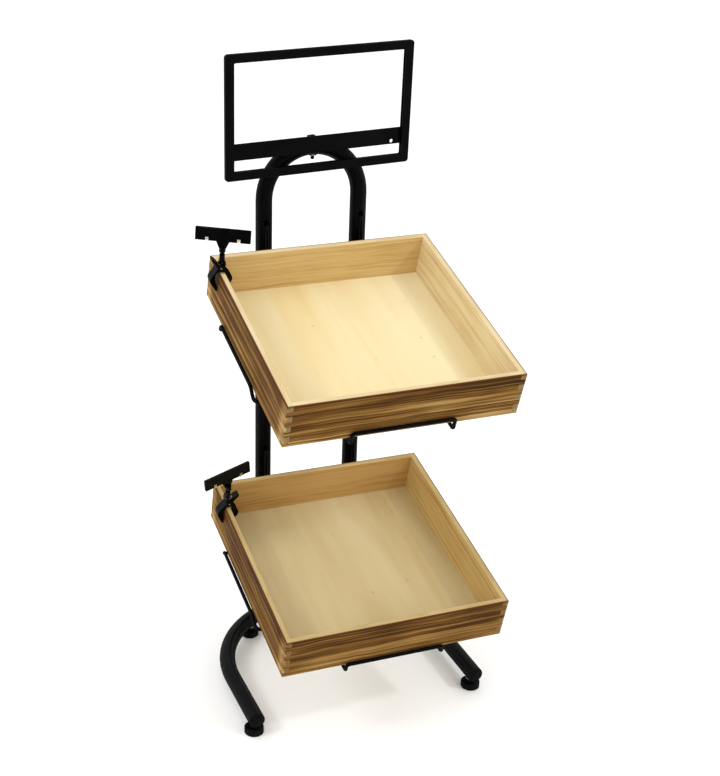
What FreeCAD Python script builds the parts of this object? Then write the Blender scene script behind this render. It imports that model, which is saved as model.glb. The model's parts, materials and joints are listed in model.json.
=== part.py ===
import FreeCAD, Part
import math
import os
from FreeCAD import Placement, Rotation, Vector

# Two-tier floor display: two finger-jointed wooden crates carried on hooked wire racks by a
# bent steel tube stand, with a sign frame on the arch and a card clip on each crate.
# Millimetres. X is to the right, -Y is the front, Z = 0 is the floor.
# The origin lies on the floor, midway between the two uprights.

os.makedirs("parts", exist_ok=True)

# ---- driving dimensions: tube stand ----
TUBE_R = 12.7
TUBE_WALL = 1.5
UPRIGHT_X = 76.65
BASE_Z = 30.0
BASE_BEND_R = 184.9
BASE_END_Y = -287.0
ARCH_SPRING_Z = 756.6
SPIGOT_R = 11.0
SPIGOT_WALL = 1.8
SPIGOT_TOP_Z = 105.0
SPIGOT_SCREW_Z = 86.0
COPE_GAP = 0.15

# ---- driving dimensions: crates and racks ----
CRATE_W = 350.0
CRATE_D = 352.0
CRATE_H = 70.4
BOARD = 9.0
FINGERS = 8
PANEL_T = 4.0
PANEL_LET_IN = 4.5
ARRIS = 0.7
WIRE_R = 2.75
ARM_W = -8.3
CROSS_W = -2.8
LOOP_X = 179.5
LOOP_REAR_V = 86.0
LOOP_FRONT_V = 254.0
LIP_GAP = 1.25
TIERS = {
    "upper": {"tilt": 17.15, "y": -20.5, "z": 626.2, "slot_z": 723.0, "lip_w": 10.0, "rail_w": 7.0},
    "lower": {"tilt": 14.37, "y": -26.2, "z": 248.8, "slot_z": 347.0, "lip_w": 4.0, "rail_w": 3.0},
}
SLOT_W = 7.5
SLOT_H = 14.0

# ---- driving dimensions: sign ----
SIGN_W = 300.5
SIGN_H = 181.4
SIGN_RAIL = 13.0
SIGN_DEPTH = 7.1
SIGN_SKIN = 1.2
SIGN_FRONT_Y = -25.0
SIGN_BOTTOM_Z = 799.6
SIGN_LEAN = 1.7
SIGN_YAW = 4.5
SIGN_ROLL = -0.45
BAR_LOW = 28.4
BAR_HIGH = 53.0
BAR_T = 1.5
BAR_HOLE_R = 2.75
BAR_HOLE_X = 122.3
BAR_HOLE_Z = 33.1
LEAF_T = 1.5
LEAF_W = 12.0
LEAF_GAP = 0.1
BOLT_R = 3.0

# ---- driving dimensions: feet ----
FOOT_R = 15.0
FOOT_H = 11.0
STUD_R = 4.0
FEET = {
    "front_left": (-184.9, -273.0),
    "front_right": (184.9, -273.0),
    "rear_left": (-105.0, -16.06),
    "rear_right": (105.0, -16.06),
}

# ---- driving dimensions: card clips (a = across the wall, c = up from the wall's top) ----
CLIP_W = 14.0
PIVOT_C = 8.8
PIN_R = 1.2
EAR_R = 5.4
JAW_T = 3.0
TIP_C = -30.0
SOCKET_A = 2.7
BALL_C = 36.0
BALL_R = 3.6
HEADER_W = 80.0
HEADER_H = 20.0
CLIPS = {
    "upper": {"v": 42.0, "neck": 1, "lean": -3.5, "ypr": (-23.51, 9.61, 4.40), "arm": 24.68},
    "lower": {"v": 56.0, "neck": -1, "lean": 2.5, "ypr": (14.25, 10.40, -10.43), "arm": 25.37},
}

X_AXIS = Vector(1, 0, 0)
Y_AXIS = Vector(0, 1, 0)
Z_AXIS = Vector(0, 0, 1)


# ---- helpers ----
def export(node, *solids):
    shape = solids[0] if len(solids) == 1 else Part.makeCompound(list(solids))
    shape.exportStep("parts/" + node + ".step")
    print(node, len(shape.Solids), round(shape.Volume, 1), "valid" if shape.isValid() else "NOT VALID")


def fused(shapes):
    whole = shapes[0].multiFuse(shapes[1:])
    whole = whole.removeSplitter()
    return whole.Solids[0] if len(whole.Solids) == 1 else whole


def block(low, high):
    size = high - low
    return Part.makeBox(size.x, size.y, size.z, low)


def rod(start, end, radius):
    return Part.makeCylinder(radius, (end - start).Length, start, end - start)


def bend_limits(points, radii):
    """Tangent points and bend centre at each inner point of a bent wire's route."""
    bends = []
    for before, corner, after, radius in zip(points, points[1:], points[2:], radii):
        arrive = (corner - before).normalize()
        leave = (after - corner).normalize()
        turn = arrive.getAngle(leave)
        setback = radius * math.tan(turn / 2)
        inward = (leave - arrive).normalize()
        centre = corner + inward * (radius / math.cos(turn / 2))
        bends.append((corner - arrive * setback, corner + leave * setback, centre, turn, arrive, leave))
    return bends


def bent_rod(points, radii, radius):
    """A round bar along straight runs joined by tangent bends, as bent wire or tube is made."""
    pieces = []
    start = points[0]
    for begin, finish, centre, turn, arrive, leave in bend_limits(points, radii):
        if (begin - start).Length > 1e-6:
            pieces.append(rod(start, begin, radius))
        section = Part.Face(Part.Wire(Part.makeCircle(radius, begin, arrive)))
        pieces.append(section.revolve(centre, arrive.cross(leave), math.degrees(turn)))
        start = finish
    if (points[-1] - start).Length > 1e-6:
        pieces.append(rod(start, points[-1], radius))
    return fused(pieces)


def revolved(profile, centre, axis):
    """A turned piece from (radius, height) points along the axis."""
    points = [Vector(radius, 0, height) for radius, height in profile]
    points.append(points[0])
    solid = Part.Face(Part.makePolygon(points)).revolve(Vector(), Z_AXIS, 360)
    solid = Part.Solid(solid) if solid.ShapeType == "Shell" else solid
    solid.Placement = Placement(centre, Rotation(Z_AXIS, axis))
    return solid


def rounded_plate(width, height, corner, y_front, depth):
    """A plate in the XZ plane, centred on X, standing on Z = 0, with rounded corners."""
    half = width / 2
    corners = [(-half, 0, 180, 270), (half, 0, 270, 360), (half, height, 0, 90), (-half, height, 90, 180)]
    edges = []
    last = None
    for x, z, first_angle, last_angle in corners:
        centre = Vector(x - math.copysign(corner, x), y_front, z + (corner if z == 0 else -corner))
        ends = []
        for angle in (first_angle, (first_angle + last_angle) / 2, last_angle):
            turn = math.radians(angle)
            ends.append(centre + Vector(math.cos(turn), 0, math.sin(turn)) * corner)
        if last is not None:
            edges.append(Part.LineSegment(last, ends[0]).toShape())
        edges.append(Part.Arc(*ends).toShape())
        last = ends[2]
    edges.append(Part.LineSegment(last, edges[0].Vertexes[0].Point).toShape())
    return Part.Face(Part.Wire(edges)).extrude(Vector(0, depth, 0))


def moved(shape, placement):
    copy = shape.copy()
    copy.Placement = placement.multiply(copy.Placement)
    return copy


# ---- tube stand ----
def base_centre_y():
    return -math.sqrt(BASE_BEND_R ** 2 - UPRIGHT_X ** 2)


def base_rod(radius, overrun=0.0):
    """The base hoop's round outline: a half circle at the back with two legs running forward."""
    centre = Vector(0, base_centre_y(), BASE_Z)
    section = Part.Face(Part.Wire(Part.makeCircle(radius, centre + X_AXIS * BASE_BEND_R, Y_AXIS)))
    arc = section.revolve(centre, Z_AXIS, 180)
    legs = []
    for side in (-1, 1):
        back = centre + X_AXIS * side * BASE_BEND_R
        legs.append(rod(back, Vector(back.x, BASE_END_Y - overrun, BASE_Z), radius))
    return fused([arc] + legs)


def foot_position(foot):
    x, y = FEET[foot]
    return Vector(x, y, 0)


def insert_profile():
    """A flanged threaded insert pressed up into the underside of the tube."""
    bottom = BASE_Z - TUBE_R - 1.2
    return [(STUD_R + 0.05, bottom), (7.5, bottom), (7.5, bottom + 1.2), (5.5, bottom + 1.2),
            (5.5, bottom + 13.0), (STUD_R + 0.05, bottom + 13.0)]


def build_base():
    hoop = base_rod(TUBE_R).cut(base_rod(TUBE_R - TUBE_WALL, 1.0))
    spigots = []
    for side in (-1, 1):
        foot = Vector(side * UPRIGHT_X, 0, BASE_Z)
        top = Vector(side * UPRIGHT_X, 0, SPIGOT_TOP_Z)
        spigot = rod(foot, top, SPIGOT_R).cut(base_rod(TUBE_R - 0.5))
        spigot = spigot.cut(rod(foot, top + Z_AXIS, SPIGOT_R - SPIGOT_WALL))
        screw = rod(Vector(foot.x, 0, SPIGOT_SCREW_Z), Vector(foot.x, TUBE_R, SPIGOT_SCREW_Z), 2.5)
        spigots.append(spigot.cut(screw))
    hoop = fused([hoop] + spigots)
    for foot in FEET:
        place = foot_position(foot)
        hoop = hoop.cut(rod(place, place + Z_AXIS * BASE_Z, 5.5))
    export("base_hoop", hoop)


def build_end_caps():
    """Domed plastic plugs in the two front ends of the base hoop."""
    inner = TUBE_R - TUBE_WALL - 0.05
    dome = [(0, 4.2), (5.0, 3.8), (9.0, 2.6), (11.6, 1.0), (TUBE_R, 0)]
    profile = dome + [(inner, 0), (inner, -8.0), (8.0, -8.0), (8.0, -1.0), (0, -1.0)]
    for name, side in (("left", -1), ("right", 1)):
        end = Vector(side * BASE_BEND_R, BASE_END_Y, BASE_Z)
        export("base_end_cap_" + name, revolved(profile, end, -Y_AXIS))


def build_feet():
    """Levelling feet: a round plastic pad moulded on a threaded stud that screws into the tube."""
    inserts = []
    for foot in FEET:
        place = foot_position(foot)
        pad = [(0, 0), (FOOT_R - 1.0, 0), (FOOT_R, 1.0), (FOOT_R, FOOT_H - 1.5), (FOOT_R - 1.5, FOOT_H),
               (7.5, FOOT_H), (7.0, FOOT_H + 3.0), (STUD_R, FOOT_H + 3.0), (STUD_R, 3.0), (0, 3.0)]
        export("foot_pad_" + foot, revolved(pad, place, Z_AXIS))
        stud = [(0, 3.0), (STUD_R, 3.0), (STUD_R, 27.0), (STUD_R - 0.8, 28.0), (0, 28.0)]
        export("foot_stud_" + foot, revolved(stud, place, Z_AXIS))
        insert = revolved(insert_profile(), place, Z_AXIS)
        inserts.append(insert.cut(base_rod(TUBE_R).cut(base_rod(TUBE_R - TUBE_WALL, 1.0)).cut(
            rod(place, place + Z_AXIS * BASE_Z, 5.5))))
    export("foot_inserts", *[insert.Solids[0] for insert in inserts])


def upright_rod(radius, start_z):
    arch = Part.Face(Part.Wire(Part.makeCircle(radius, Vector(UPRIGHT_X, 0, ARCH_SPRING_Z), Z_AXIS)))
    arch = arch.revolve(Vector(0, 0, ARCH_SPRING_Z), -Y_AXIS, 180)
    legs = []
    for side in (-1, 1):
        legs.append(rod(Vector(side * UPRIGHT_X, 0, start_z), Vector(side * UPRIGHT_X, 0, ARCH_SPRING_Z), radius))
    return fused([arch] + legs)


def slot_cutter(x, z):
    """An upright slot with round ends through the front wall of an upright."""
    reach = SLOT_H / 2 - SLOT_W / 2
    low = Vector(x, -TUBE_R - 2, z - reach)
    high = Vector(x, -TUBE_R - 2, z + reach)
    depth = Vector(0, TUBE_R + 2, 0)
    middle = block(low - X_AXIS * SLOT_W / 2, high + X_AXIS * SLOT_W / 2 + depth)
    return fused([middle, rod(low, low + depth, SLOT_W / 2), rod(high, high + depth, SLOT_W / 2)])


def build_upright():
    tube = upright_rod(TUBE_R, BASE_Z + 1).cut(upright_rod(TUBE_R - TUBE_WALL, BASE_Z))
    tube = tube.cut(base_rod(TUBE_R + COPE_GAP))
    arch_top = ARCH_SPRING_Z + UPRIGHT_X
    tube = tube.cut(rod(Vector(0, 0, arch_top), Vector(0, 0, arch_top + 20), BOLT_R + 0.3))
    tube = tube.cut(rod(Vector(0, 0, arch_top), Vector(0, 0, arch_top - 20), 4.5))
    for side in (-1, 1):
        for tier in TIERS.values():
            tube = tube.cut(slot_cutter(side * UPRIGHT_X, tier["slot_z"]))
        screw = rod(Vector(side * UPRIGHT_X, 0, SPIGOT_SCREW_Z), Vector(side * UPRIGHT_X, 20, SPIGOT_SCREW_Z), 2.6)
        tube = tube.cut(screw)
    export("upright_hoop", tube)


def build_upright_screws():
    """Button screws that pin each upright to its spigot from behind."""
    profile = [(0, 2.6), (2.4, 2.3), (4.0, 1.2), (4.75, 0), (2.5, 0), (2.5, -7.0), (0, -7.0)]
    screws = []
    for side in (-1, 1):
        seat = Vector(side * UPRIGHT_X, TUBE_R, SPIGOT_SCREW_Z)
        screws.append(revolved(profile, seat, Y_AXIS))
    export("upright_screws", *screws)


# ---- sign ----
def sign_placement():
    turn = Placement(Vector(), Rotation(Z_AXIS, SIGN_YAW))
    lean = Placement(Vector(0, SIGN_FRONT_Y, SIGN_BOTTOM_Z), Rotation(X_AXIS, SIGN_LEAN))
    return turn.multiply(lean).multiply(Placement(Vector(), Rotation(Y_AXIS, SIGN_ROLL)))


def build_sign_frame():
    """A card frame of folded steel channel, open towards its middle."""
    frame = rounded_plate(SIGN_W, SIGN_H, 5.0, 0, SIGN_DEPTH)
    rim = [edge for edge in frame.Edges if abs(edge.BoundBox.YLength) < 1e-6]
    frame = frame.makeFillet(1.2, rim)
    opening = rounded_plate(SIGN_W - 2 * SIGN_RAIL - 1, SIGN_H - 25.6, 1.5, -1, SIGN_DEPTH + 2)
    frame = frame.cut(moved(opening, Placement(Vector(0, 0, SIGN_RAIL), Rotation())))
    groove = rounded_plate(SIGN_W - 2 * SIGN_SKIN, SIGN_H - 2 * SIGN_SKIN, 3.8, SIGN_SKIN, SIGN_DEPTH - 2 * SIGN_SKIN)
    frame = frame.cut(moved(groove, Placement(Vector(0, 0, SIGN_SKIN), Rotation())))
    joint_x = SIGN_W / 2 - SIGN_RAIL
    seam = block(Vector(joint_x - 0.2, -1, SIGN_H - SIGN_RAIL - 0.5), Vector(joint_x + 0.2, SIGN_SKIN + 1, SIGN_H + 1))
    export("sign_frame", moved(frame.cut(seam), sign_placement()))


def bar_half():
    return SIGN_W / 2 - SIGN_RAIL - 0.5


def build_sign_bar():
    back = SIGN_DEPTH
    bar = block(Vector(-bar_half(), back - BAR_T, BAR_LOW), Vector(bar_half(), back, BAR_HIGH))
    hole = rod(Vector(BAR_HOLE_X, 0, BAR_HOLE_Z), Vector(BAR_HOLE_X, back + 1, BAR_HOLE_Z), BAR_HOLE_R)
    export("sign_cross_bar", moved(bar.cut(hole), sign_placement()))


def build_sign_bracket():
    """A folded angle: one leaf welded behind the cross bar, the other bolted down on the arch."""
    lean = math.radians(SIGN_LEAN)
    seat_z = ARCH_SPRING_Z + UPRIGHT_X + TUBE_R + LEAF_GAP

    def on_bar(height, depth):
        y = SIGN_FRONT_Y + depth * math.cos(lean) - height * math.sin(lean)
        return Vector(0, y, SIGN_BOTTOM_Z + depth * math.sin(lean) + height * math.cos(lean))

    back = SIGN_DEPTH
    bar_low = on_bar(BAR_LOW + 1.0, back)
    leaf_low = on_bar(BAR_LOW + 1.0, back + LEAF_T)
    corner_height = seat_z + LEAF_T - SIGN_BOTTOM_Z
    outer = on_bar(corner_height, back)
    inner = on_bar(corner_height - LEAF_T, back + LEAF_T)
    outer.z = seat_z + LEAF_T
    inner.z = seat_z
    end = 11.0
    points = [bar_low, leaf_low, inner, Vector(0, end, seat_z), Vector(0, end, seat_z + LEAF_T), outer, bar_low]
    leaf = Part.Face(Part.makePolygon(points)).extrude(X_AXIS * LEAF_W)
    leaf.translate(X_AXIS * -LEAF_W / 2)
    folds = []
    for edge in leaf.Edges:
        along_x = edge.BoundBox.XLength > LEAF_W - 1
        if along_x and abs(edge.BoundBox.YMin - outer.y) < 0.1 and abs(edge.BoundBox.ZMin - outer.z) < 0.1:
            folds.append(edge)
    leaf = leaf.makeFillet(LEAF_T, folds)
    tips = [edge for edge in leaf.Edges if edge.BoundBox.ZLength > LEAF_T - 0.1 and edge.BoundBox.YMin > end - 0.1]
    leaf = leaf.makeFillet(5.0, tips)
    leaf = leaf.cut(rod(Vector(0, 0, seat_z - 1), Vector(0, 0, seat_z + 4), BOLT_R + 0.08))
    export("sign_bracket", moved(leaf, Placement(Vector(), Rotation(Z_AXIS, SIGN_YAW))))


def build_sign_bolt():
    """A button-head bolt down through the bracket and the arch, and its insert in the lower wall."""
    seat = ARCH_SPRING_Z + UPRIGHT_X + TUBE_R + LEAF_T + 2 * LEAF_GAP
    length = seat - 813.6
    profile = [(0, 2.6), (2.4, 2.3), (4.2, 1.2), (4.75, 0), (BOLT_R, 0), (BOLT_R, 0.6 - length),
               (BOLT_R - 0.6, -length), (0, -length)]
    export("sign_bolt", revolved(profile, Vector(0, 0, seat), Z_AXIS))
    low = ARCH_SPRING_Z + UPRIGHT_X - TUBE_R
    insert = [(BOLT_R, -1.0), (6.5, -1.0), (6.5, 0), (4.5, 0), (4.5, 9.0), (BOLT_R, 9.0)]
    insert = revolved(insert, Vector(0, 0, low), Z_AXIS)
    wall = upright_rod(TUBE_R, 700).cut(upright_rod(TUBE_R - TUBE_WALL, 699))
    wall = wall.cut(rod(Vector(0, 0, low - 5), Vector(0, 0, low + 20), 4.5))
    export("arch_insert", insert.cut(wall).Solids[0])


# ---- crates ----
def tier_placement(tier):
    """Crate-local frame: X right, -Y forward along the crate's floor, Z square to that floor."""
    values = TIERS[tier]
    return Placement(Vector(0, values["y"], values["z"]), Rotation(X_AXIS, values["tilt"]))


def eased_envelope():
    """The crate's outer block with its sharp edges eased."""
    envelope = block(Vector(-CRATE_W / 2, -CRATE_D, 0), Vector(CRATE_W / 2, 0, CRATE_H))
    return envelope.makeChamfer(ARRIS, envelope.Edges)


def eased_mouth():
    """A tapered plug that eases the inner top edge of the walls."""
    low = CRATE_H - ARRIS
    sections = []
    for height, spread in ((low, 0.0), (CRATE_H + ARRIS, 2 * ARRIS)):
        half = CRATE_W / 2 - BOARD + spread
        front = -CRATE_D + BOARD - spread
        back = -BOARD + spread
        corners = [Vector(-half, front, height), Vector(half, front, height), Vector(half, back, height),
                   Vector(-half, back, height), Vector(-half, front, height)]
        sections.append(Part.makePolygon(corners))
    return Part.makeLoft(sections, True, True)


def finger_cutters(owned, x_low, x_high, y_low, y_high):
    """Blocks at the fingers that the neighbouring board owns; finger 0 is the top one."""
    step = CRATE_H / FINGERS
    cutters = []
    for index in range(FINGERS):
        if index % 2 == owned:
            top = CRATE_H - index * step
            cutters.append(block(Vector(x_low, y_low, top - step), Vector(x_high, y_high, top)))
    return cutters


def board_side(side):
    outer = side * CRATE_W / 2
    inner = side * (CRATE_W / 2 - BOARD)
    low = min(outer, inner)
    high = max(outer, inner)
    board = block(Vector(low, -CRATE_D, 0), Vector(high, 0, CRATE_H))
    cutters = finger_cutters(1, low - 1, high + 1, -CRATE_D - 1, -CRATE_D + BOARD)
    cutters += finger_cutters(1, low - 1, high + 1, -BOARD, 1)
    return board.cut(cutters)


def board_end(front):
    low = -CRATE_D if front else -BOARD
    high = low + BOARD
    board = block(Vector(-CRATE_W / 2, low, 0), Vector(CRATE_W / 2, high, CRATE_H))
    inner = CRATE_W / 2 - BOARD
    cutters = finger_cutters(0, -CRATE_W / 2 - 1, -inner, low - 1, high + 1)
    cutters += finger_cutters(0, inner, CRATE_W / 2 + 1, low - 1, high + 1)
    return board.cut(cutters)


def crate_nails():
    """Headed pins through the lowest fingers of the front and back into the sides."""
    nails = []
    height = 6.6
    inset = CRATE_W / 2 - 7.1
    profile = [(0, 0), (1.1, 0), (1.1, -0.8), (0.7, -0.8), (0.7, -22.0), (0, -24.0)]
    for side in (-1, 1):
        nails.append(revolved(profile, Vector(side * inset, -CRATE_D, height), -Y_AXIS))
        nails.append(revolved(profile, Vector(side * inset, 0, height), Y_AXIS))
    return nails


def panel_brads():
    """Short brads up through the bottom panel into the walls it is let into."""
    brads = []
    inset = BOARD - PANEL_LET_IN / 2
    half = CRATE_W / 2 - inset
    for share in (0.15, 0.5, 0.85):
        y = -CRATE_D * share
        x = CRATE_W * (share - 0.5)
        for place in (Vector(-half, y, 0), Vector(half, y, 0), Vector(x, -inset, 0), Vector(x, inset - CRATE_D, 0)):
            brads.append(rod(place, place + Z_AXIS * 14, 0.7))
    return brads


def build_crate(tier):
    place = tier_placement(tier)
    reach = CRATE_W / 2 - PANEL_LET_IN
    panel = block(Vector(-reach, -CRATE_D + PANEL_LET_IN, 0), Vector(reach, -PANEL_LET_IN, PANEL_T))
    nails = crate_nails()
    brads = panel_brads()
    boards = {
        "left": board_side(-1),
        "right": board_side(1),
        "front": board_end(True),
        "back": board_end(False),
    }
    envelope = eased_envelope()
    mouth = eased_mouth()
    for name, board in boards.items():
        board = board.common(envelope).cut([panel, mouth] + nails + brads)
        export(tier + "_crate_" + name, moved(board.Solids[0], place))
    export(tier + "_crate_bottom", moved(panel.cut(brads), place))
    export(tier + "_crate_nails", *[moved(nail, place) for nail in nails])
    export(tier + "_crate_brads", *[moved(brad, place) for brad in brads])


# ---- racks ----
def build_rack(tier):
    """One bent wire that hooks into both uprights and turns up at the front, and a side loop."""
    values = TIERS[tier]
    place = tier_placement(tier)
    riser_y = -TUBE_R - WIRE_R - 0.05
    hook_y = -5.0
    hook_bend = 5.0
    hook_z = values["slot_z"] - SLOT_H / 2 + WIRE_R + 1.2
    tilt = math.radians(values["tilt"])
    lip_y = -(CRATE_D + WIRE_R + LIP_GAP)
    rise = values["lip_w"] - ARM_W
    lip_bend = min(4.5, rise / 2 - 0.1)
    arm = place.multVec(Vector(0, 0, ARM_W))
    heel_y = (riser_y - arm.y) / math.cos(tilt)
    half = []
    half.append(Vector(UPRIGHT_X, hook_y, hook_z - 12.0))
    half.append(Vector(UPRIGHT_X, hook_y, hook_z))
    half.append(Vector(UPRIGHT_X, riser_y, hook_z))
    half.append(place.multVec(Vector(UPRIGHT_X, heel_y, ARM_W)))
    half.append(place.multVec(Vector(UPRIGHT_X, lip_y, ARM_W)))
    half.append(place.multVec(Vector(UPRIGHT_X, lip_y, values["lip_w"])))
    mirrored = [Vector(-point.x, point.y, point.z) for point in reversed(half)]
    bends = [hook_bend, hook_bend, 8.0, lip_bend, lip_bend]
    wire = bent_rod(half + mirrored, bends + bends[::-1], WIRE_R)
    export(tier + "_rack_wire", wire)

    front = -LOOP_FRONT_V
    rear = -LOOP_REAR_V
    rail = values["rail_w"]
    side = [
        Vector(LOOP_X, rear, CROSS_W),
        Vector(LOOP_X, rear - 3.5, rail),
        Vector(LOOP_X, front + 26.0, rail),
        Vector(LOOP_X, front + 11.0, CROSS_W),
        Vector(LOOP_X, front, CROSS_W),
    ]
    other = [Vector(-point.x, point.y, point.z) for point in reversed(side)]
    route = [Vector(0, rear, CROSS_W)] + side + other + [Vector(0, rear, CROSS_W)]
    bends = [4.0, 3.5, 14.0, 5.0, 8.0]
    loop = bent_rod(route, bends + bends[::-1], WIRE_R)
    export(tier + "_rack_loop", moved(loop, place))


# ---- card clips ----
def clip_placement(tier):
    """Clip frame: X across the left wall towards the crate's inside, Z up from the wall's top edge."""
    values = CLIPS[tier]
    top = Placement(Vector(-CRATE_W / 2 + BOARD / 2, -values["v"], CRATE_H), Rotation())
    bite = Vector(0, 0, TIP_C + 2.0)
    lean = Placement(bite, Rotation(Y_AXIS, values["lean"])).multiply(Placement(-bite, Rotation()))
    return tier_placement(tier).multiply(top).multiply(lean)


def outline(points, radii, thickness):
    """A closed ribbon outline of even thickness round a bent centre line in the XZ plane."""
    edges = []
    start = points[0]
    for begin, finish, centre, turn, arrive, leave in bend_limits(points, radii):
        if (begin - start).Length > 1e-6:
            edges.append(Part.LineSegment(start, begin).toShape())
        middle = centre + (begin + finish - centre * 2).normalize() * (begin - centre).Length
        edges.append(Part.Arc(begin, middle, finish).toShape())
        start = finish
    edges.append(Part.LineSegment(start, points[-1]).toShape())
    ribbon = Part.Wire(edges).makeOffset2D(thickness / 2, 0, False, False, False)
    return Part.Face(Part.Wire(ribbon.Edges))


def jaw_plate(side, gap):
    """One bowed jaw from its biting tip up to the waist by the pivot."""
    tip = BOARD / 2 + JAW_T / 2 + gap
    line = [(tip, TIP_C), (17.0, -9.6), (7.5, 3.0), (4.2, PIVOT_C)]
    centre = [Vector(side * across, 0, up) for across, up in line]
    plate = outline(centre, [9.0, 6.0], JAW_T).extrude(Y_AXIS * CLIP_W)
    plate.translate(Y_AXIS * -CLIP_W / 2)
    return plate


def jaw_cheeks(side, spans):
    """Flanges that stiffen a bowed jaw along its two edges, from the pivot ears to near the tip."""
    inner = [(1.2, PIVOT_C - 1.0), (1.2, 4.4), (6.4, 0.6), (8.2, -5.1), (8.0, -11.4), (6.6, -20.8), (6.0, -28.4)]
    outer = [(6.9, -28.6), (13.4, -16.4), (15.0, -10.2), (13.6, -5.4), (7.5, 3.0), (4.2, PIVOT_C)]
    profile = [Vector(side * across, 0, up) for across, up in inner + outer]
    face = Part.Face(Part.makePolygon(profile + profile[:1]))
    cheeks = []
    for low, high in spans:
        cheek = face.extrude(Y_AXIS * (high - low))
        cheek.translate(Y_AXIS * low)
        cheeks.append(cheek)
    return cheeks


def handle_plate(side, width, line):
    centre = [Vector(side * across, 0, up) for across, up in line]
    plate = outline(centre, [7.0], JAW_T).extrude(Y_AXIS * width)
    plate.translate(Y_AXIS * -width / 2)
    return plate


def leaf_shape():
    """The outline that both levers are trimmed to, seen across the wall: pointed tip, eased handle."""
    half = CLIP_W / 2
    corners = [(half, -17.0), (half, 21.5), (half - 3.0, 26.5), (3.0 - half, 26.5), (-half, 21.5), (-half, -17.0),
               (-3.8, TIP_C - 2.0), (3.8, TIP_C - 2.0), (half, -17.0)]
    face = Part.Face(Part.makePolygon([Vector(-30, along, up) for along, up in corners]))
    return face.extrude(X_AXIS * 60)


def pivot_ears(spans):
    """Round ears about the pivot pin; spans is a list of (low, high) along the pin."""
    return [rod(Vector(0, low, PIVOT_C), Vector(0, high, PIVOT_C), EAR_R) for low, high in spans]


def pivot_clear(spans):
    """Room round the pin for the other lever's ears, and for the spring between them."""
    return [rod(Vector(0, low, PIVOT_C), Vector(0, high, PIVOT_C), EAR_R + 0.4) for low, high in spans]


def build_clip(tier):
    values = CLIPS[tier]
    place = clip_placement(tier)
    neck = values["neck"]
    half = CLIP_W / 2
    outer_ears = [(-half, -half + 2.2), (half - 2.2, half)]
    inner_ears = [(-half + 2.4, -half + 4.4), (half - 4.4, half - 2.4)]
    pin_hole = rod(Vector(0, -half - 1, PIVOT_C), Vector(0, half + 1, PIVOT_C), PIN_R + 0.05)
    socket = Vector(neck * SOCKET_A, 0, 0)
    socket_top = BALL_C - 6.0

    neck_line = [(3.2, PIVOT_C), (5.4, 15.0), (4.6, 20.0)]
    fixed = [jaw_plate(neck, 0.1), handle_plate(neck, CLIP_W, neck_line)]
    fixed = fused(fixed + jaw_cheeks(neck, outer_ears) + pivot_ears(outer_ears)).common(leaf_shape())
    barrel = rod(socket + Z_AXIS * 17.0, socket + Z_AXIS * socket_top, 4.0)
    fixed = fused([fixed, barrel]).cut(pivot_clear([(-half + 2.2, half - 2.2)]))
    stem_hole = rod(socket + Z_AXIS * 22.0, socket + Z_AXIS * (socket_top + 1), 1.7 + 0.05)
    fixed = fixed.cut([pin_hole, stem_hole])
    export(tier + "_clip_neck_jaw", moved(fixed, place))

    free_line = [(3.2, PIVOT_C), (5.2, 15.0), (13.0, 24.5)]
    free = [jaw_plate(-neck, 0.4), handle_plate(-neck, CLIP_W, free_line)]
    free = fused(free + jaw_cheeks(-neck, inner_ears) + pivot_ears(inner_ears)).common(leaf_shape())
    room = [(-half - 1, -half + 2.4), (-half + 4.4, half - 4.4), (half - 2.4, half + 1)]
    free = free.cut(pivot_clear(room)).cut(pin_hole)
    export(tier + "_clip_free_jaw", moved(free, place))

    pin = revolved([(0, -half), (PIN_R, -half), (PIN_R, half), (0, half)], Vector(0, 0, PIVOT_C), Y_AXIS)
    export(tier + "_clip_pin", moved(pin, place))
    export(tier + "_clip_spring", moved(clip_spring(neck), place))
    build_header(tier, place, socket, socket_top)


def clip_spring(neck):
    """A torsion spring: close-wound turns round the pin, a hairpin against the free handle, one plain leg."""
    wire = 0.5
    inner = 1.9
    outer = inner + 2 * wire
    turns = 4
    length = 2 * wire * turns
    profile = [(inner, -length / 2)]
    for turn in range(turns):
        low = 2 * wire * turn - length / 2
        profile += [(outer - 0.2, low), (outer, low + 0.6 * wire), (outer, low + 1.4 * wire)]
    profile += [(outer - 0.2, length / 2), (inner, length / 2)]
    coil = revolved(profile, Vector(0, 0, PIVOT_C), Y_AXIS)
    middle = inner + wire
    edge = length / 2 - wire
    rise = [(middle, PIVOT_C + 0.6), (2.6, 15.0), (4.9, 18.6)]
    hairpin = [Vector(-neck * across, -edge, up) for across, up in rise]
    hairpin += [Vector(-neck * across, edge, up) for across, up in reversed(rise)]
    hairpin = bent_rod(hairpin, [2.0, 0.9, 0.9, 2.0], wire - 0.08)
    leg = rod(Vector(neck * middle, 0, PIVOT_C + 0.6), Vector(neck * 2.5, 0, 15.6), wire - 0.08)
    return fused([coil, hairpin, leg])


def header_pose(tier, place):
    """The header's own frame: origin at the ball, X along the header, Z up it."""
    yaw, pitch, roll = CLIPS[tier]["ypr"]
    turn = Rotation(Z_AXIS, yaw).multiply(Rotation(X_AXIS, pitch)).multiply(Rotation(Y_AXIS, roll))
    return Placement(place.multVec(Vector(CLIPS[tier]["neck"] * SOCKET_A, 0, BALL_C)), turn)


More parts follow.
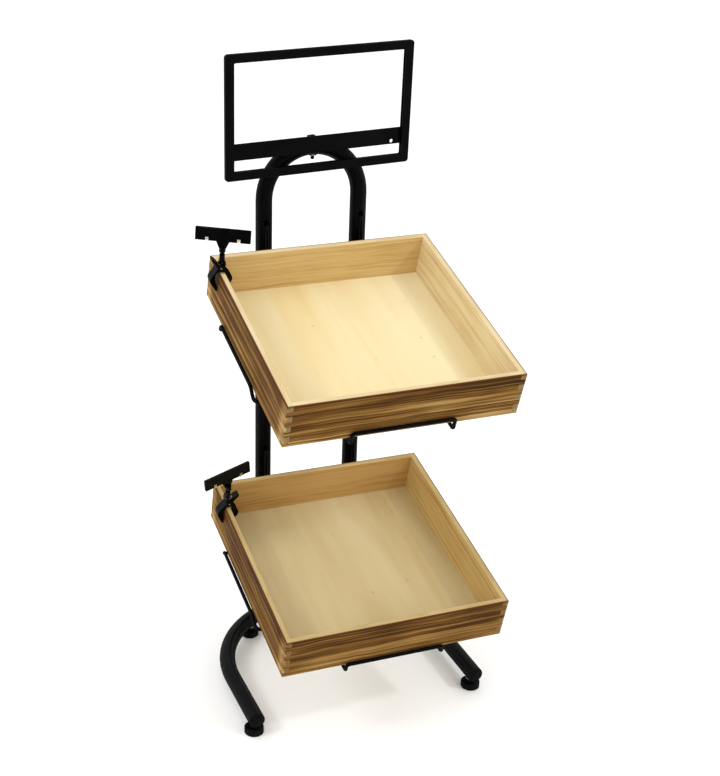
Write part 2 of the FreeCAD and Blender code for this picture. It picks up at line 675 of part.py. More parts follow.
def build_header(tier, place, socket, socket_top):
    """The swivel stem with its ball, and the two-plate card header that snaps on the ball."""
    stem = rod(socket + Z_AXIS * 22.5, socket + Z_AXIS * BALL_C, 1.7)
    collar = rod(socket + Z_AXIS * (socket_top + 0.1), socket + Z_AXIS * (socket_top + 1.0), 2.8)
    ball = Part.makeSphere(BALL_R, socket + Z_AXIS * BALL_C)
    export(tier + "_clip_stem", moved(fused([stem, collar, ball]), place))

    pose = header_pose(tier, place)
    arm = CLIPS[tier]["arm"]
    low = arm - HEADER_H / 2
    plate_t = 1.8
    corner = 1.2
    back = moved(rounded_plate(HEADER_W, HEADER_H, corner, 0.05, plate_t), Placement(Vector(0, 0, low), Rotation()))
    front = moved(rounded_plate(HEADER_W, HEADER_H, corner, -0.05 - plate_t, plate_t),
                  Placement(Vector(0, 0, low), Rotation()))
    field = rounded_plate(HEADER_W - 3.2, HEADER_H - 3.2, 0.8, -0.05 - 2 * plate_t, plate_t + 0.35)
    front = front.cut(moved(field, Placement(Vector(0, 0, low + 1.6), Rotation())))
    cup = rod(Vector(0, 0, -1.6), Vector(0, 0, 5.5), BALL_R + 1.2)
    funnel = [Vector(-BALL_R - 1.0, 0, 2.0), Vector(BALL_R + 1.0, 0, 2.0), Vector(10.5, 0, low + 1.0),
              Vector(-10.5, 0, low + 1.0), Vector(-BALL_R - 1.0, 0, 2.0)]
    funnel = Part.Face(Part.makePolygon(funnel)).extrude(Y_AXIS * (plate_t + 1.0))
    funnel.translate(Y_AXIS * 0.05)
    back = fused([back, cup, funnel]).cut(Part.makeSphere(BALL_R + 0.05))
    mouth = Part.makeCone(BALL_R + 0.6, BALL_R - 0.6, 1.6, Vector(0, 0, -2.2))
    back = back.cut(mouth)
    notch = block(Vector(-14, -plate_t - 1, low - 1), Vector(14, 0.05, low + 1.0))
    back = back.cut(notch)
    clips = []
    for side in (-1, 1):
        x = side * 23.0
        outer = block(Vector(x - 2.3, -plate_t - 0.55, low - 0.5), Vector(x + 2.3, plate_t + 0.55, low + 5.6))
        gap = block(Vector(x - 4.0, -plate_t - 0.05, low), Vector(x + 4.0, plate_t + 0.05, low + 9.0))
        clips.append(outer.cut(gap))
    export(tier + "_header_back", moved(back, pose))
    export(tier + "_header_front", moved(front, pose))
    export(tier + "_header_clips", *[moved(clip, pose) for clip in clips])


# ---- the whole display ----
build_base()
build_end_caps()
build_feet()
build_upright()
build_upright_screws()
build_sign_frame()
build_sign_bar()
build_sign_bracket()
build_sign_bolt()
for tier_name in TIERS:
    build_crate(tier_name)
    build_rack(tier_name)
    build_clip(tier_name)
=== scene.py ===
# %% [markdown]
# # Dressing a two-tier crate display
# The real object is a black tube stand that carries two torched pine crates on bent wire racks,
# with a sign frame on its arch and a swivelling card clip on each crate.
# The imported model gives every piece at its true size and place. This notebook loads it as a fixed
# frame and gives each piece the finish that it has in the shop. Last come the threads and sockets
# of the screws, which the construction model leaves plain.

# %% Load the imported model
import json
import math
import bmesh
import bpy
from mathutils import Matrix, Vector


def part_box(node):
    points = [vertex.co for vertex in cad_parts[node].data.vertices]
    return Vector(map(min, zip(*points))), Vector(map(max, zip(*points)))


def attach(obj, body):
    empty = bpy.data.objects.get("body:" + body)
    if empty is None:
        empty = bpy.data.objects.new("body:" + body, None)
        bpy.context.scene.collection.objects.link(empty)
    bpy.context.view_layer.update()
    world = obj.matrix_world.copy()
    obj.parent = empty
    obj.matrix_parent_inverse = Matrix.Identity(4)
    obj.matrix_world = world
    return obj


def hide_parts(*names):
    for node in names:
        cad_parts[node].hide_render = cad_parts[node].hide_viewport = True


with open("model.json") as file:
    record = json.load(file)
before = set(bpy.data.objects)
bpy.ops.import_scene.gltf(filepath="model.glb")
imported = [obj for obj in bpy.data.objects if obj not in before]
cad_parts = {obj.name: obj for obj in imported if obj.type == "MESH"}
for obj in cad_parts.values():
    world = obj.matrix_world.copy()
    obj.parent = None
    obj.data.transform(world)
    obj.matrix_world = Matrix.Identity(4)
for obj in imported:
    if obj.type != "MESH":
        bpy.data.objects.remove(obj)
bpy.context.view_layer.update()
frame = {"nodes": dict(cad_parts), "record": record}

# %% [markdown]
# ## The camera
# A product picture is taken from a little above the goods and to one side, with a rather long lens,
# so that the crates keep their square look. The camera stands to the left, turned towards the
# display, and looks down at it. The lens is shifted a little, which moves the picture in the frame
# without turning the camera.

# %% Camera
CAMERA_PLACE = Vector((-0.7289, -1.8685, 1.2997))
CAMERA_PITCH = math.radians(90 - 25.22)
CAMERA_YAW = math.radians(-18.77)

lens = bpy.data.cameras.new("studio_camera")
lens.lens = 62.50        # millimetres, on Blender's standard sensor of 36 mm
lens.shift_x = 0.1379
lens.shift_y = 0.0604
camera = bpy.data.objects.new("studio_camera", lens)
camera.location = CAMERA_PLACE
camera.rotation_euler = (CAMERA_PITCH, 0.0, CAMERA_YAW)
bpy.context.scene.collection.objects.link(camera)
bpy.context.scene.camera = camera
print("camera stands at", tuple(round(part, 2) for part in CAMERA_PLACE))

# %% [markdown]
# ## Floor and light
# The studio is a white sweep under soft light, so shadows are faint and there is no horizon. A wide
# pale floor does the same work here. The even white sky gives most of the light. Two smaller lamps,
# high on the right and lower on the left, add the soft shadow of each crate's walls on its bottom and
# the thin highlights on the tubes. The view transform is set to Standard, so that a white floor stays
# white.


# %% Floor and lamps
def area_lamp(name, place, target, size, power):
    """A square soft lamp that points at a target."""
    lamp = bpy.data.lights.new(name, "AREA")
    lamp.size = size
    lamp.energy = power
    made = bpy.data.objects.new(name, lamp)
    made.location = place
    made.rotation_euler = (Vector(target) - Vector(place)).to_track_quat("-Z", "Y").to_euler()
    bpy.context.scene.collection.objects.link(made)
    return made


FLOOR_REACH = 30.0
FLOOR_WHITE = (0.95, 0.95, 0.95, 1)
FLOOR_ROUGHNESS = 0.9
SKY_STRENGTH = 1.2
DISPLAY_CENTRE = (0.0, -0.15, 0.5)

floor_mesh = bpy.data.meshes.new("studio_floor")
corners = [(-FLOOR_REACH, -FLOOR_REACH, 0), (FLOOR_REACH, -FLOOR_REACH, 0),
           (FLOOR_REACH, FLOOR_REACH, 0), (-FLOOR_REACH, FLOOR_REACH, 0)]
floor_mesh.from_pydata(corners, [], [(0, 1, 2, 3)])
floor = bpy.data.objects.new("studio_floor", floor_mesh)
bpy.context.scene.collection.objects.link(floor)
floor_finish = bpy.data.materials.new("studio_white")
floor_finish.use_nodes = True
floor_shader = floor_finish.node_tree.nodes["Principled BSDF"]
floor_shader.inputs["Base Color"].default_value = FLOOR_WHITE
floor_shader.inputs["Roughness"].default_value = FLOOR_ROUGHNESS
floor_mesh.materials.append(floor_finish)

world = bpy.data.worlds.new("studio_sky")
world.use_nodes = True
sky = world.node_tree.nodes["Background"]
sky.inputs["Color"].default_value = (1, 1, 1, 1)
sky.inputs["Strength"].default_value = SKY_STRENGTH
bpy.context.scene.world = world
area_lamp("right_lamp", (1.85, -2.2, 2.75), DISPLAY_CENTRE, size=0.26, power=25)
area_lamp("left_lamp", (-2.1, -0.7, 2.1), DISPLAY_CENTRE, size=0.6, power=17)
bpy.context.scene.view_settings.view_transform = "Standard"
print("floor and lamps are set")

# %% [markdown]
# ## A small tool kit for node materials
# Every finish is a shader tree, and the same few nodes come back in each: a noise, a sum, a colour
# ramp, a mix. The helpers below make one node each and hand back its output, so that a finish reads
# like a recipe. A number goes straight into a socket, and only what varies over the surface is linked.


# %% Helpers for node trees
class Recipe:
    """One material under construction: its tree, its shader and short calls for common nodes."""

    def __init__(self, name, roughness=0.5, metallic=0.0):
        self.material = bpy.data.materials.new(name)
        self.material.use_nodes = True
        self.tree = self.material.node_tree
        self.shader = self.tree.nodes["Principled BSDF"]
        self.shader.inputs["Roughness"].default_value = roughness
        self.shader.inputs["Metallic"].default_value = metallic

    def add(self, kind, inputs=(), **settings):
        made = self.tree.nodes.new(kind)
        for key, value in settings.items():
            setattr(made, key, value)
        for socket, value in inputs:
            self.feed(made.inputs[socket], value)
        return made

    def feed(self, socket, value):
        if isinstance(value, bpy.types.NodeSocket):
            self.tree.links.new(value, socket)
        else:
            socket.default_value = value

    def place(self):
        return self.add("ShaderNodeTexCoord").outputs["Object"]

    def calc(self, operation, first, second=0.0, third=0.0):
        made = self.add("ShaderNodeMath", [(0, first), (1, second), (2, third)], operation=operation)
        return made.outputs[0]

    def ease(self, value, low, high, to_low=0.0, to_high=1.0):
        """Smooth step of a value from low to high."""
        made = self.add("ShaderNodeMapRange", [(0, value), (1, low), (2, high), (3, to_low), (4, to_high)],
                        interpolation_type="SMOOTHSTEP")
        return made.outputs[0]

    def vector(self, x, y, z):
        return self.add("ShaderNodeCombineXYZ", [(0, x), (1, y), (2, z)]).outputs[0]

    def split(self, vector):
        return self.add("ShaderNodeSeparateXYZ", [(0, vector)]).outputs

    def noise(self, vector, scale=1.0, detail=2.0, distortion=0.0):
        inputs = [("Vector", vector), ("Scale", scale), ("Detail", detail), ("Distortion", distortion)]
        return self.add("ShaderNodeTexNoise", inputs).outputs["Fac"]

    def colours(self, value, stops):
        made = self.add("ShaderNodeValToRGB", [(0, value)])
        ramp = made.color_ramp
        while len(ramp.elements) < len(stops):
            ramp.elements.new(0.5)
        for element, (position, colour) in zip(ramp.elements, stops):
            element.position = position
            element.color = (*colour, 1)
        return made.outputs[0]

    def mix(self, factor, first, second):
        made = self.add("ShaderNodeMix", data_type="RGBA")
        self.feed(made.inputs[0], factor)
        for socket, value in ((6, first), (7, second)):
            self.feed(made.inputs[socket], (*value, 1) if isinstance(value, tuple) else value)
        return made.outputs[2]

    def colour(self, value):
        self.feed(self.shader.inputs["Base Color"], (*value, 1) if isinstance(value, tuple) else value)

    def roughness(self, value):
        self.feed(self.shader.inputs["Roughness"], value)

    def bump(self, height, strength, distance):
        inputs = [("Strength", strength), ("Distance", distance), ("Height", height)]
        made = self.add("ShaderNodeBump", inputs)
        self.tree.links.new(made.outputs[0], self.shader.inputs["Normal"])


def srgb(red, green, blue):
    """A colour given as it looks on a screen, 0 to 255, in the linear units that shaders use."""
    parts = []
    for value in (red, green, blue):
        share = value / 255
        parts.append(share / 12.92 if share < 0.04045 else ((share + 0.055) / 1.055) ** 2.4)
    return tuple(parts)


print("recipe helpers are ready")

# %% [markdown]
# ## Black finishes
# The tubes, wires and sign frame are steel with a black powder coat. Powder melts into a skin with
# a very fine orange peel, which breaks up the reflections a little. The plugs and foot pads are
# moulded in matt plastic, and the card clips in glossy plastic with soft flow marks. In a white
# studio a black piece reflects white from all sides. Its gloss is therefore kept low, and lowest
# where the surface turns away, so that it stays truly black with thin highlights.


# %% Powder coat and plastics
PEEL_DEPTH = 0.0004
EDGE_ON = (0.25, 0.85)         # where the gloss fades as a face turns away
HEAD_ON = (0.12, 0.30)         # where it rises from what a face shows straight at the viewer


def black(name, shade, gloss, head_on, matt, patches, peel, peel_strength):
    """A black finish; head_on is the share of the gloss left where a face points at the viewer."""
    recipe = Recipe(name)
    place = recipe.place()
    cloud = recipe.noise(place, scale=patches, detail=3, distortion=0.4)
    lighter = tuple(part * 1.6 + 0.0006 for part in shade)
    recipe.colour(recipe.colours(cloud, [(0.35, shade), (0.7, lighter)]))
    recipe.roughness(recipe.ease(cloud, 0.3, 0.7, *matt))
    facing = recipe.add("ShaderNodeLayerWeight", [("Blend", 0.5)]).outputs["Facing"]
    sheen = recipe.calc("MULTIPLY", recipe.ease(facing, *EDGE_ON, gloss, 0.0),
                       recipe.ease(facing, *HEAD_ON, head_on, 1.0))
    # a plain value first, for programs that can't read what is linked
    recipe.shader.inputs["Specular IOR Level"].default_value = gloss / 2
    recipe.feed(recipe.shader.inputs["Specular IOR Level"], sheen)
    recipe.bump(recipe.noise(place, scale=peel, detail=1), peel_strength, PEEL_DEPTH)
    return recipe.material


BLACKS = {
    "black_powder_coat": dict(shade=srgb(4, 4, 4), gloss=0.05, head_on=0.5, matt=(0.22, 0.30),
                              patches=22, peel=900, peel_strength=0.06),
    "black_gloss_plastic": dict(shade=srgb(3, 3, 4), gloss=0.09, head_on=0.14, matt=(0.10, 0.18),
                                patches=60, peel=400, peel_strength=0.06),
    "black_matte_plastic": dict(shade=srgb(6, 6, 6), gloss=0.04, head_on=1.0, matt=(0.42, 0.52),
                                patches=60, peel=1500, peel_strength=0.10),
    "black_fastener": dict(shade=srgb(5, 5, 6), gloss=0.08, head_on=1.0, matt=(0.28, 0.38),
                           patches=90, peel=1200, peel_strength=0.10),
}
finishes = {name: black(name, **values) for name, values in BLACKS.items()}
print("black finishes:", ", ".join(finishes))

# %% [markdown]
# ## Bare metal
# The studs, screws, inserts and brads are zinc plated and slightly hazy, and the nail heads are
# steel that has gone dull. The clip's pin and coil spring and the two little springs on each card
# header are bright nickel with a warm tint. Bright metal shows its surroundings, which a plain white
# studio wouldn't give, so the nickel has painted reflections: darker bands across it.


# %% Zinc, steel and nickel
EVEN = (350, 350, 350)
REFLECTION_BANDS = (60, 60, 520)


def plated(name, shade, matt, shadow=0.72, stretch=EVEN):
    """Bare metal with darker patches: hazy plating on zinc and steel, painted reflections on nickel.
    shadow is the share of its shade that the darkest patches keep, and stretch scales the patches.
    """
    recipe = Recipe(name, metallic=1.0)
    across = recipe.add("ShaderNodeMapping", [("Vector", recipe.place()), ("Scale", stretch)]).outputs[0]
    haze_and_reflection = recipe.noise(across, detail=2)
    darker = tuple(part * shadow for part in shade)
    recipe.colour(recipe.colours(haze_and_reflection, [(0.3, darker), (0.65, shade)]))
    recipe.roughness(recipe.ease(haze_and_reflection, 0.3, 0.7, *matt))
    return recipe.material


finishes["zinc_steel"] = plated("zinc_steel", srgb(178, 176, 170), (0.34, 0.48))
# the nickel's darker bands are painted reflections of its surroundings
finishes["nickel"] = plated("nickel", srgb(235, 222, 200), (0.14, 0.24), shadow=0.20, stretch=REFLECTION_BANDS)
finishes["dull_steel"] = plated("dull_steel", srgb(92, 84, 74), (0.50, 0.62))
print("metals: zinc_steel, nickel, dull_steel")

# %% [markdown]
# ## Where the crates stand
# The wood's grain follows each board, and the crates lean forward, so their finish is worked out in
# the crate's own directions. The largest face of the bottom panel gives the lean, and the boards'
# corners, measured along those directions, give the crate's width, depth and height.


# %% Each crate's own frame
BOARD_NAMES = ("left", "right", "front", "back")


def crate_frame(tier):
    """The crate's lean, the middle of its back's lower edge in its own directions, and its size."""
    panel = frame["nodes"][tier + "_crate_bottom"].data
    face = max((f for f in panel.polygons if f.normal.z > 0.5), key=lambda f: f.area)
    lean = math.atan2(-face.normal.y, face.normal.z)
    turn_back = Matrix.Rotation(-lean, 3, "X")
    points = []
    for name in BOARD_NAMES:
        points += [turn_back @ v.co for v in frame["nodes"][tier + "_crate_" + name].data.vertices]
    low = Vector([min(p[i] for p in points) for i in range(3)])
    high = Vector([max(p[i] for p in points) for i in range(3)])
    corner = Vector(((low.x + high.x) / 2, high.y, low.z))
    return {"lean": lean, "corner": corner, "size": high - low}


crates = {tier: crate_frame(tier) for tier in ("upper", "lower")}
for tier, crate in crates.items():
    print(tier, "crate leans", round(math.degrees(crate["lean"]), 2), "degrees, size", crate["size"][:])

# %% [markdown]
# ## Torched pine
# The outside of each crate is pine that was scorched with a flame. Heat bites into the soft early
# wood and leaves stripes that follow the growth rings, darkest along the upper edge, while the
# inside and the top edge stay pale. One recipe makes both: masks by distance from the crate's outer
# faces choose between bare wood, scorched wood and the cut ends of the fingers. The grain is made of
# noises that are stretched along the board, one broad, one narrow and one as fine as fibres. A slow
# wander bends all three together, so that the streaks swell, fade and never run quite straight.
# The flame also leaves a thin singed line round the outer edge of the pale top.
# The lower crate has a stronger figure. Its colours are browner and darker, partly its own wood and
# partly painted shade from the crate above, and the upper crate's right inner wall is painted lighter.


# %% Shades of pine
BARE = [(0.36, srgb(209, 177, 121)), (0.50, srgb(204, 169, 111)), (0.64, srgb(193, 155, 97)),
        (0.80, srgb(178, 138, 82))]
TOP_EDGE = [(0.35, srgb(212, 194, 154)), (0.7, srgb(198, 175, 129))]
CUT_END = [(0.30, srgb(104, 84, 54)), (0.7, srgb(140, 122, 88))]
SINGED = srgb(84, 46, 12)
TORCHED = [(0.08, srgb(180, 142, 82)), (0.34, srgb(147, 107, 51)), (0.60, srgb(110, 71, 24)),
           (0.80, srgb(82, 48, 12)), (1.0, srgb(48, 27, 6))]
# how each crate's boards, edges, scorched faces and cut ends shift those colours, as shares of
# red, green and blue; besides the wood's own tone they hold painted light and shade: the upper
# right wall is painted lighter for the light it gets, the lower crate darker for the shade above it
TINTS_AND_PAINTED_LIGHT = {
    "upper": {"left": (0.95, 1.05, 1.2), "right": (1.10, 1.34, 1.86), "front": (0.95, 1.05, 1.2),
              "back": (0.98, 1.04, 1.06), "edges": (0.98, 0.97, 0.97), "torched": (0.96, 1.08, 1.38),
              "ends": (1.0, 1.0, 1.0)},
    "lower": {"left": (0.76, 0.72, 0.60), "right": (0.87, 0.91, 0.85), "front": (0.76, 0.72, 0.60),
              "back": (0.79, 0.72, 0.60), "edges": (0.70, 0.64, 0.51), "torched": (0.93, 1.03, 1.24),
              "ends": (0.86, 0.72, 0.54)},
}
FIGURE = {"upper": 1.8, "lower": 2.6}      # how strongly the bare grain shows
PINE_ROUGHNESS = 0.7
PINE_GLOSS = 0.06


def tinted(tint, stops):
    """Colour stops, each shade multiplied by the shares of a tint."""
    return [(place, tuple(part * share for part, share in zip(shade, tint))) for place, shade in stops]


print("shades for bare, torched and cut pine")


# %% Directions and grain
# cycles to the metre along, up and through a board
WANDER_RATES, BROAD_RATES = (11, 9, 8), (2.2, 185, 60)
NARROW_RATES, FIBRE_RATES = (6, 540, 200), (22, 1000, 700)
CLOUD_RATES, SPECKLE_RATES = (11, 26, 1), (600, 400, 40)
WANDER_REACH = 0.009       # how far the streaks stray up and down
# where one finish gives way to the next, as spans from a face, a tip or the rim
SKIN_DEPTH, TIP_DEPTH = (0.0006, 0.0011), (0.0002, 0.0005)
CUT_END_RIM, SINGED_WIDTH = (0.0014, 0.0034), (0.0012, 0.0026)
PALE_TIP = (0.009, 0.030)
# the same as spans below the top edge, and one above the bottom edge
PALE_TOP, TOP_HEAT = (0.0006, 0.0002), (0.050, 0.004)
EDGE_HEAT, SINGED_HEIGHT = (0.0042, 0.0014), (0.0030, 0.0010)
LOW_HEAT = (0.0005, 0.0020)


def crate_place(recipe, tier):
    """Coordinates along the crate's own width, depth and height, from the bottom of its back."""
    crate = crates[tier]
    mapping = recipe.add("ShaderNodeMapping", [("Vector", recipe.place())])
    mapping.inputs["Rotation"].default_value = (-crate["lean"], 0, 0)
    mapping.inputs["Location"].default_value = tuple(-crate["corner"])
    return recipe.split(mapping.outputs[0])


def streaks(recipe, place, rates, seed, detail=2):
    """A noise with its own rate along, up and through the board, in cycles to the metre."""
    parts = [recipe.calc("MULTIPLY", part, rate) for part, rate in zip(place[:2], rates[:2])]
    parts.append(recipe.calc("MULTIPLY_ADD", place[2], rates[2], seed))
    return recipe.noise(recipe.vector(*parts), detail=detail)


def weighted(recipe, parts, start=0.0):
    """The sum of (value, weight) pairs, and a starting value."""
    total = start
    for value, weight in parts:
        total = recipe.calc("MULTIPLY_ADD", value, weight, total)
    return total


print("grain runs along, up and through a board")


# %% Pine recipe
def pine(tier, board, runs_along, seed, tone):
    """Pine for one board; tone is how deeply its outside is scorched."""
    recipe = Recipe(tier + "_pine_" + board, roughness=PINE_ROUGHNESS)
    # the tier's shares carry painted light and shade as well as the wood's own tone
    tints_and_light = TINTS_AND_PAINTED_LIGHT[tier]
    size = crates[tier]["size"]
    x, y, z = crate_place(recipe, tier)
    side_reach = recipe.calc("ABSOLUTE", x)
    end_reach = recipe.calc("ABSOLUTE", recipe.calc("ADD", y, size.y / 2))
    from_side = recipe.calc("SUBTRACT", size.x / 2, side_reach)
    from_end = recipe.calc("SUBTRACT", size.y / 2, end_reach)
    if runs_along == "depth":
        along, through, from_face, from_tip = y, x, from_side, from_end
    else:
        along, through, from_face, from_tip = x, y, from_end, from_side

    def below_top(span, *shares):
        """Smooth step over a span of depth below the crate's top edge."""
        return recipe.ease(z, size.z - span[0], size.z - span[1], *shares)

    # the grain wanders slowly up and down along the board
    wander = streaks(recipe, (along, z, through), WANDER_RATES, seed)
    level = recipe.calc("MULTIPLY_ADD", wander, WANDER_REACH, z)
    broad = streaks(recipe, (along, level, through), BROAD_RATES, seed, detail=1)
    narrow = streaks(recipe, (along, level, through), NARROW_RATES, seed * 1.7)
    fibre = streaks(recipe, (along, level, through), FIBRE_RATES, seed)
    cloud = streaks(recipe, (along, z, through), CLOUD_RATES, seed * 3.1)
    speckle = streaks(recipe, (through, z, along), SPECKLE_RATES, 0.0, detail=3)

    # bare wood inside, and a paler top edge
    soft = weighted(recipe, [(broad, 0.18), (narrow, 0.42), (fibre, 0.20), (cloud, 0.20)])
    figure = recipe.calc("MULTIPLY_ADD", soft, FIGURE[tier], 0.5 - FIGURE[tier] / 2)
    # each board's share paints the light and shade it gets into the bare wood
    bare = recipe.colours(figure, tinted(tints_and_light[board], BARE))
    edge = recipe.colours(figure, tinted(tints_and_light["edges"], TOP_EDGE))
    bare = recipe.mix(below_top(PALE_TOP), bare, edge)

    # scorched wood outside: darker towards the top edge, paler at the tips of the side boards
    early, late = recipe.ease(broad, 0.38, 0.64), recipe.ease(narrow, 0.36, 0.66)
    burn = weighted(recipe, [(early, 0.30), (late, 0.34), (fibre, 0.20), (cloud, 0.5)], tone - 0.22)
    top_heat = below_top(TOP_HEAT, -0.08, 0.18)
    edge_heat = below_top(EDGE_HEAT, 0.0, 0.30)
    low_heat = recipe.ease(z, *LOW_HEAT, 0.12, 0.0)
    tip_pale = recipe.ease(from_tip, *PALE_TIP, -0.36 if runs_along == "depth" else 0.0, 0.0)
    for heat in (top_heat, edge_heat, low_heat, tip_pale):
        burn = recipe.calc("ADD", burn, heat)
    torched = recipe.colours(burn, tinted(tints_and_light["torched"], TORCHED))
    end_grain = recipe.colours(speckle, tinted(tints_and_light["ends"], CUT_END))

    # masks: the outer skin, the cut ends inside its rim, and a singed line round the top edge
    at_tip = recipe.ease(from_tip, *TIP_DEPTH, 1.0, 0.0)
    outside = recipe.calc("MAXIMUM", recipe.ease(from_face, *SKIN_DEPTH, 1.0, 0.0), at_tip)
    cut_end = recipe.calc("MULTIPLY", at_tip, recipe.ease(from_face, *CUT_END_RIM))
    from_rim = recipe.calc("MINIMUM", from_face, from_tip)
    singed = recipe.calc("MULTIPLY", recipe.ease(from_rim, *SINGED_WIDTH, 1.0, 0.0), below_top(SINGED_HEIGHT))
    skin = recipe.mix(cut_end, recipe.mix(outside, bare, torched), end_grain)
    recipe.colour(recipe.mix(recipe.calc("MULTIPLY", singed, 0.85), skin, SINGED))
    recipe.shader.inputs["Specular IOR Level"].default_value = PINE_GLOSS
    recipe.bump(weighted(recipe, [(narrow, 0.6), (fibre, 1.0)]), 0.05, 0.0003)
    return recipe.material


print("the pine recipe is ready")

# %% Pine for every board
BOARD_TONES = {"upper": {"left": 0.17, "right": 0.14, "front": 0.14, "back": 0.12},
               "lower": {"left": 0.28, "right": 0.22, "front": 0.22, "back": 0.18}}
for tier_index, tier in enumerate(crates):
    for board_index, board in enumerate(BOARD_NAMES):
        runs = "depth" if board in ("left", "right") else "width"
        board_seed = 3.7 + 11.3 * tier_index + 2.9 * board_index
        finishes[tier + "_crate_" + board] = pine(tier, board, runs, board_seed, BOARD_TONES[tier][board])
print("pine recipes for", 2 * len(BOARD_NAMES), "boards")

# %% [markdown]
# ## Plywood bottoms
# The bottoms are thin sanded plywood, cream in the upper crate and a shade browner in the lower
# one. The face veneer is cut round the log, so its grain is broad and faint and runs from front to
# back, with a few pin knots.


# %% Plywood recipe
# cycles to the metre across and along the veneer
FIGURE_RATES, VENEER_RATES, KNOT_RATES = (13, 1.4), (380, 14), (25, 17)
KNOT_SPAN = (0.065, 0.120)             # from its centre to its rim, as shares of a cell
KNOT_SHARES = (0.62, 0.45, 0.30)       # its red, green and blue against the deep veneer
PLYWOOD_GLOSS = 0.2


def veneer(recipe, x, y, rates, seed):
    """A point stretched by its own rate across and along the veneer."""
    return recipe.vector(recipe.calc("MULTIPLY", x, rates[0]), recipe.calc("MULTIPLY", y, rates[1]), seed)


def plywood(tier, pale, deep, seed, contrast, fibres):
    """A sanded plywood bottom; contrast and fibres are how strongly its figure and fibres show."""
    recipe = Recipe(tier + "_plywood", roughness=0.5)
    x, y, _ = crate_place(recipe, tier)
    wave = recipe.noise(veneer(recipe, x, y, FIGURE_RATES, seed), detail=3, distortion=0.4)
    fibre = recipe.noise(veneer(recipe, x, y, VENEER_RATES, seed), detail=3)
    tone = weighted(recipe, [(fibre, fibres), (wave, contrast)], 0.5 - (contrast + fibres) / 2)
    wood = recipe.colours(tone, [(0.25, pale), (0.75, deep)])

    # pin knots: the ragged centres of a few large cells
    cells = veneer(recipe, x, y, KNOT_RATES, seed)
    distance = recipe.add("ShaderNodeTexVoronoi", [("Vector", cells), ("Scale", 1.0)]).outputs["Distance"]
    ragged = recipe.calc("MULTIPLY_ADD", recipe.noise(recipe.place(), scale=260, detail=2), 0.10, distance)
    spot = recipe.ease(ragged, *KNOT_SPAN, 0.42, 0.0)
    recipe.colour(recipe.mix(spot, wood, tuple(part * share for part, share in zip(deep, KNOT_SHARES))))
    recipe.shader.inputs["Specular IOR Level"].default_value = PLYWOOD_GLOSS
    recipe.bump(fibre, 0.06, 0.0002)
    return recipe.material


finishes["upper_crate_bottom"] = plywood("upper", srgb(228, 215, 174), srgb(217, 195, 141), seed=1.7,
                                         contrast=1.5, fibres=0.10)
finishes["lower_crate_bottom"] = plywood("lower", srgb(201, 185, 145), srgb(178, 157, 109), seed=5.3,
                                         contrast=1.4, fibres=0.16)
print("plywood for both bottoms")

# %% [markdown]
# ## Dress every piece
# Each node takes the finish of its material slot, apart from the crate boards and bottoms, which
# have recipes of their own. Curved faces are shaded smooth, and edges sharper than thirty degrees
# stay crisp.

# %% Give each node its finish
slots = {part["node"]: part["material_slot"] for part in frame["record"]["subparts"]}
SHARP = math.radians(30)
for tier in crates:
    slots[tier + "_crate_nails"] = "dull_steel"
for name, piece in frame["nodes"].items():
    finish = finishes.get(name) or finishes[slots[name]]
    piece.data.materials.clear()
    piece.data.materials.append(finish)
    piece.data.shade_smooth()
    piece.data.set_sharp_from_angle(angle=SHARP)
print("dressed", len(frame["nodes"]), "pieces")

# %% [markdown]
# ## Threads and sockets
# The construction model keeps its screws plain. The real studs, bolt and upright screws are
# threaded, and each button head has a hexagon socket. Blender's screw modifier could wind a thread,
# but it leaves an open ribbon whose ends still have to be closed. Here the whole screw is turned
# from rings of points, as on a lathe, which gives one closed solid. A ring can be a circle or the
# outline of a hexagon. In a thread its radius dips and rises once as the angle goes round, and the
# dip climbs with each ring. Every screw keeps its node's place and length, with a little clearance
# round it. Heights run from the seat of its head, negative down the shank.


# %% A small lathe
RING_STEPS = 36
FULL_TURN = 2 * math.pi
RINGS_PER_PITCH = 8


def turned(name, rings, spots):
    """Closed solids turned from (radius, height) rings, one for each (place, axis)."""
    work = bmesh.new()
    for place, axis in spots:
        turn = Vector(axis).to_track_quat("Z", "Y")
        rows = []
        for radius, height in rings:
            angles = [FULL_TURN * step / RING_STEPS for step in range(RING_STEPS)]
            reaches = [radius(angle) if callable(radius) else radius for angle in angles]
            points = [Vector((r * math.cos(a), r * math.sin(a), height)) for r, a in zip(reaches, angles)]
            rows.append([work.verts.new(place + turn @ point) for point in points])
        for low, high in zip(rows, rows[1:]):
            for step in range(RING_STEPS):
                after = (step + 1) % RING_STEPS
                work.faces.new((low[step], low[after], high[after], high[step]))
        work.faces.new(reversed(rows[0]))
        work.faces.new(rows[-1])
    mesh = bpy.data.meshes.new(name)
    work.to_mesh(mesh)
    work.free()
    mesh.shade_smooth()
    mesh.set_sharp_from_angle(angle=SHARP)
    piece = bpy.data.objects.new(name, mesh)
    bpy.context.scene.collection.objects.link(piece)
    return piece


def hexagon(flats):
    """The radius of a hexagon, which is so wide across its flats, at each angle."""
    sector = FULL_TURN / 6
    return lambda angle: flats / 2 / math.cos((angle + sector / 2) % sector - sector / 2)


def thread(crest, pitch, tip, end):
    """Rings of a threaded shank from its chamfered tip to the end of the thread."""
    depth = 0.5 * pitch

    def ring(height):
        def radius(angle):
            phase = (height / pitch - angle / FULL_TURN) % 1.0
            dip = depth * min(1.0, 1.25 * (1 - abs(2 * phase - 1)))
            return min(crest - dip, crest - depth + height - tip)
        return radius

    count = round((end - tip) / pitch * RINGS_PER_PITCH)
    heights = [tip + (end - tip) * index / count for index in range(count + 1)]
    return [(ring(height), height) for height in heights]


print("the lathe turns", RING_STEPS, "points a ring and", RINGS_PER_PITCH, "rings a pitch")

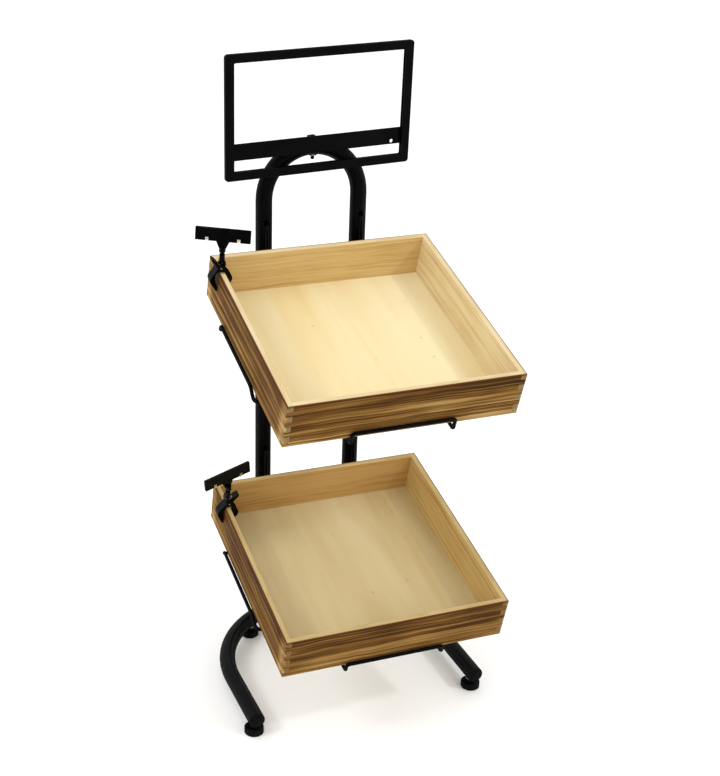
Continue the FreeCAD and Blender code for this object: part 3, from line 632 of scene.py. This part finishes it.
# %% Turn the studs, the bolt and the upright screws
CREST_CLEARANCE = 0.00008
STUD_PITCH, BOLT_PITCH, SCREW_PITCH = 0.00125, 0.0010, 0.0008
BOLT_RADIUS, SCREW_RADIUS = 0.0030, 0.0025
BOLT_FLATS, SCREW_FLATS = 0.0040, 0.0030       # across the flats of each socket
STUD_PLAIN, BOLT_PLAIN, SCREW_PLAIN = 0.0105, 0.0100, 0.0010       # unthreaded below the head
SCREW_LENGTH = 0.0070
HEAD_HEIGHT, HEAD_RADIUS = 0.0026, 0.00475
HEAD_DOME = [(0.00460, 0.00055), (0.00415, 0.00120), (0.00335, 0.00185), (0.00240, 0.00230)]
SOCKET_TOP, SOCKET_FLOOR = 0.00232, 0.0008
STEP_LENGTH = 0.0002       # from the last ring of a thread to its plain shank


def shank(radius, pitch, length, plain):
    """Rings of a shank from its tip, threaded up to its plain part."""
    crest = radius - CREST_CLEARANCE
    return thread(crest, pitch, -length, -plain) + [(crest, STEP_LENGTH - plain), (crest, 0.0)]


def button_head(flats):
    """Rings of a button head: underside, dome and hexagon socket."""
    return [(HEAD_RADIUS, 0.0)] + HEAD_DOME + [(hexagon(flats), SOCKET_TOP), (hexagon(flats), SOCKET_FLOOR)]


def stand_in(piece, node):
    """Lets a turned piece take the finish, the body and the place of a node."""
    carriers = frame["record"]["behaviour"]["bodies"]
    piece.data.materials.append(finishes[slots[node]])
    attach(piece, next(body for body, nodes in carriers.items() if node in nodes))
    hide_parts(node)


for foot in ("front_left", "front_right", "rear_left", "rear_right"):
    low, high = (Vector(end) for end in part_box("foot_stud_" + foot))
    seat = Vector(((low.x + high.x) / 2, (low.y + high.y) / 2, low.z))
    rings = shank((high.x - low.x) / 2, STUD_PITCH, high.z - low.z, STUD_PLAIN)
    stand_in(turned("threaded_stud_" + foot, rings, [(seat, (0, 0, -1))]), "foot_stud_" + foot)

low, high = (Vector(end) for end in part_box("sign_bolt"))
seat = Vector(((low.x + high.x) / 2, (low.y + high.y) / 2, high.z - HEAD_HEIGHT))
rings = shank(BOLT_RADIUS, BOLT_PITCH, seat.z - low.z, BOLT_PLAIN) + button_head(BOLT_FLATS)
stand_in(turned("threaded_sign_bolt", rings, [(seat, (0, 0, 1))]), "sign_bolt")

low, high = (Vector(end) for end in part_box("upright_screws"))
rings = shank(SCREW_RADIUS, SCREW_PITCH, SCREW_LENGTH, SCREW_PLAIN) + button_head(SCREW_FLATS)
seats = [Vector((x, high.y - HEAD_HEIGHT, (low.z + high.z) / 2))
         for x in (low.x + HEAD_RADIUS, high.x - HEAD_RADIUS)]
stand_in(turned("socket_upright_screws", rings, [(seat, (0, 1, 0)) for seat in seats]), "upright_screws")
print("turned four studs, the sign's bolt and two upright screws")
